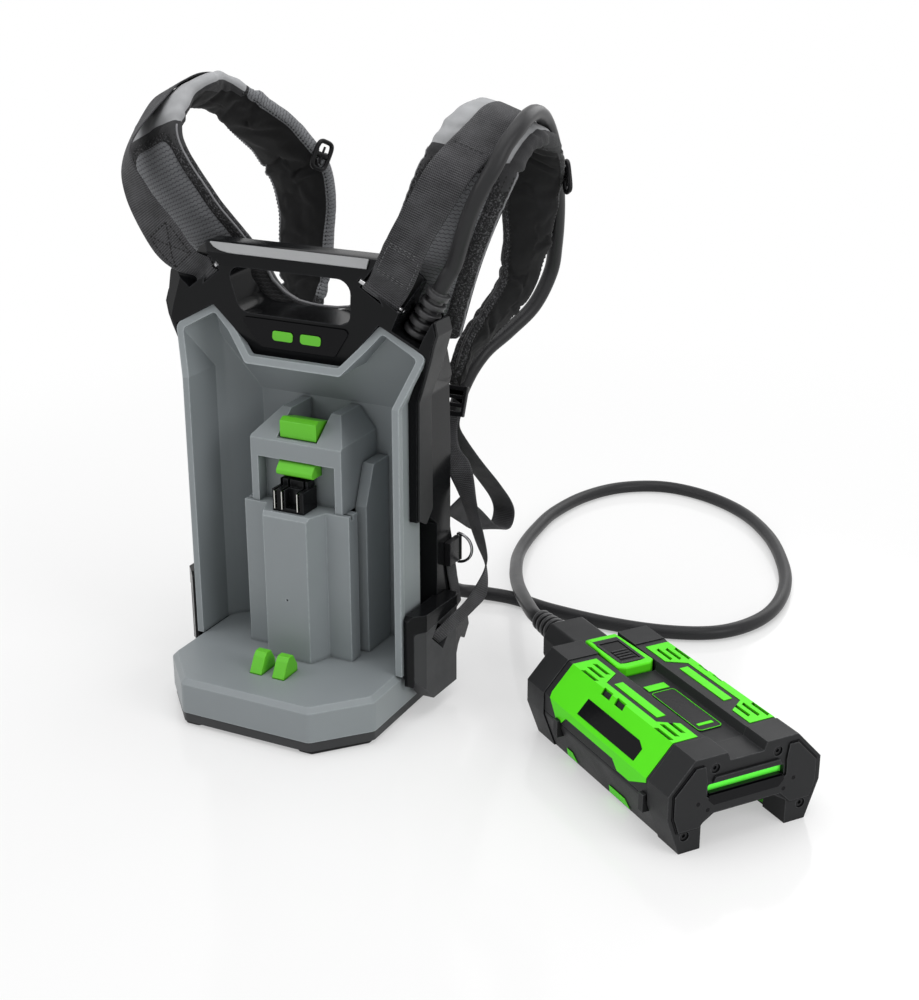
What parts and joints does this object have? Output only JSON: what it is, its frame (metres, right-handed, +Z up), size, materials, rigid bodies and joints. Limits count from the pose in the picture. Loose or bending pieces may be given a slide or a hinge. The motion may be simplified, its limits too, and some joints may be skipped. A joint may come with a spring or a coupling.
{
  "type": "backpack battery carrier",
  "caption": "Backpack battery carrier with docking bay, handle, padded shoulder straps and a thick cable to a battery-shaped power adapter.",
  "frame": {"origin": "middle of the carrier's footprint on the floor, measured without the cable and the adapter", "axes": "+Z up, +Y from the battery bay towards the wearer's back, +X to the right of someone who looks into the battery bay"},
  "size_m": [0.7262, 0.8217, 0.5902],
  "materials": {
    "shell_grey": "satin moulded plastic",
    "pan_dark": "fine texture",
    "foot_rubber": "matt",
    "fastener_steel": "plated",
    "frame_black": "polished",
    "cover_black": "matt",
    "grip_silver": "satin metallic",
    "plate_black": "polished",
    "lime": "satin",
    "spring_steel": "drawn wire",
    "contact_brass": "plated",
    "pad_cloth": "mesh and woven cloth",
    "back_cloth": "padded mesh",
    "webbing": "ribbed weave",
    "buckle_black": "moulded",
    "ring_chrome": "polished",
    "bar_steel": "plated",
    "cable_rubber": "matt",
    "lead_sleeve": "matt",
    "adapter_grey": "fine texture",
    "adapter_black": "polished",
    "light_green": "lit",
    "board_green": "coated"
  },
  "bodies": {
    "carrier": {"base_housing": "shell_grey", "base_pan": "pan_dark", "rubber_feet": "foot_rubber", "case_screws": "fastener_steel", "front_shell": "shell_grey", "rear_frame": "frame_black", "side_covers": "cover_black", "handle_grip": "grip_silver", "name_plate": "plate_black", "name_marks": "lime", "dock_column": "shell_grey", "dock_head": "shell_grey", "guide_rails": "shell_grey", "terminal_block": "frame_black", "terminal_blades": "contact_brass", "button_spring": "spring_steel", "ejector_spring_left": "spring_steel", "ejector_spring_right": "spring_steel", "back_pad": "back_cloth", "lumbar_pad": "back_cloth", "yoke_pad": "back_cloth", "shoulder_pad_left": "pad_cloth", "shoulder_pad_right": "pad_cloth", "top_webbing_left": "webbing", "top_webbing_right": "webbing", "lower_webbing_left": "webbing", "lower_webbing_right": "webbing", "webbing_tails": "webbing", "ladder_locks": "buckle_black", "strap_bars": "bar_steel", "d_ring_tabs": "buckle_black", "sternum_sliders": "buckle_black", "strap_pod_left": "pan_dark", "strap_pod_right": "pan_dark", "pod_caps": "frame_black", "pod_hooks": "buckle_black", "cable_gland": "cable_rubber", "lead_wires": "lead_sleeve", "power_cable": "cable_rubber", "adapter_strain_relief": "cable_rubber", "adapter_top_shell": "adapter_grey", "adapter_bottom_shell": "adapter_grey", "adapter_near_cap": "adapter_grey", "adapter_far_cap": "adapter_grey", "adapter_side_panels": "lime", "adapter_button_frame": "lime", "adapter_button_spring": "spring_steel", "adapter_bars": "lime", "adapter_badge": "adapter_black", "adapter_light_bar": "light_green", "adapter_terminals": "contact_brass", "adapter_board": "board_green", "adapter_screws": "fastener_steel"},
    "release_button": {"release_button": "lime"},
    "battery_latch": {"battery_latch": "lime"},
    "ejector_left": {"ejector_left": "lime"},
    "ejector_right": {"ejector_right": "lime"},
    "d_ring_left": {"d_ring_left": "ring_chrome"},
    "d_ring_right": {"d_ring_right": "ring_chrome"},
    "adapter_button": {"adapter_button": "adapter_black"}
  },
  "joints": [
    {"name": "release_button_press", "type": "slide", "parent": "carrier", "child": "release_button", "axis": [0, 0, -1], "range_m": [0, 0.005], "stiffness_N_per_m": 800, "springref_m": -0.004, "deforming": ["button_spring"]},
    {"name": "battery_latch_slide", "type": "slide", "parent": "carrier", "child": "battery_latch", "axis": [0, 1, 0], "range_m": [0, 0.0082]},
    {"name": "ejector_left_press", "type": "slide", "parent": "carrier", "child": "ejector_left", "axis": [0, 0, -1], "range_m": [0, 0.012], "stiffness_N_per_m": 600, "springref_m": -0.004, "deforming": ["ejector_spring_left"]},
    {"name": "ejector_right_press", "type": "slide", "parent": "carrier", "child": "ejector_right", "axis": [0, 0, -1], "range_m": [0, 0.012], "stiffness_N_per_m": 600, "springref_m": -0.004, "deforming": ["ejector_spring_right"]},
    {"name": "d_ring_left_swing", "type": "hinge", "parent": "carrier", "child": "d_ring_left", "pos_m": [-0.126, 0.0165, 0.147], "axis": [0, 0, -1], "range_deg": [-60, 60]},
    {"name": "d_ring_right_swing", "type": "hinge", "parent": "carrier", "child": "d_ring_right", "pos_m": [0.126, 0.0165, 0.147], "axis": [0, 0, 1], "range_deg": [-60, 60]},
    {"name": "adapter_button_press", "type": "slide", "parent": "carrier", "child": "adapter_button", "axis": [0, 0, -1], "range_m": [0, 0.0022], "stiffness_N_per_m": 800, "springref_m": -0.003, "deforming": ["adapter_button_spring"]}
  ],
  "couplings": [
    {"joint": "battery_latch_slide", "follows": "release_button_press", "ratio": 1.6}
  ]
}
